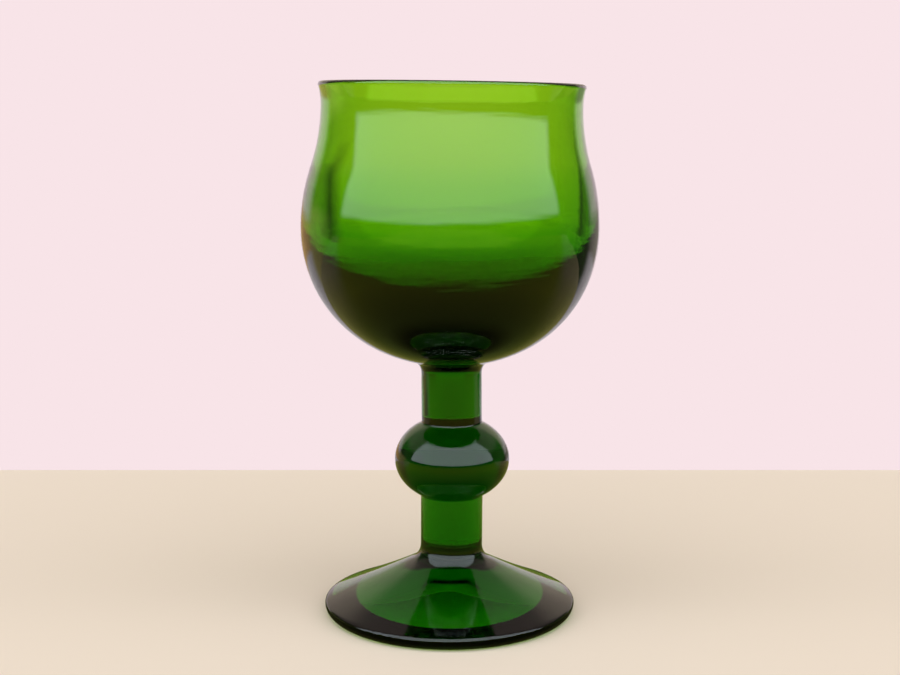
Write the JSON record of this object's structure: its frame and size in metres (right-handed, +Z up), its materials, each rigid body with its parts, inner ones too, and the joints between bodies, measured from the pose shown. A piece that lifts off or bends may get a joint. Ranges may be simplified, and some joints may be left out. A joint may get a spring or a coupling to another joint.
{
  "type": "water goblet",
  "caption": "Stemmed water goblet in deep green glass: a tulip bowl with a flared lip on a solid stem with a round knop, standing on a flared foot.",
  "frame": {"origin": "on the surface that the goblet stands on, under the middle of its foot", "axes": "+Z up along the goblet's axis; the goblet is round, so X and Y are free"},
  "size_m": [0.0908, 0.0908, 0.165],
  "materials": {
    "green_glass": "fire polished"
  },
  "bodies": {
    "root": {"bowl": "green_glass", "upper_stem": "green_glass", "knop": "green_glass", "lower_stem": "green_glass", "foot": "green_glass"}
  },
  "joints": []
}
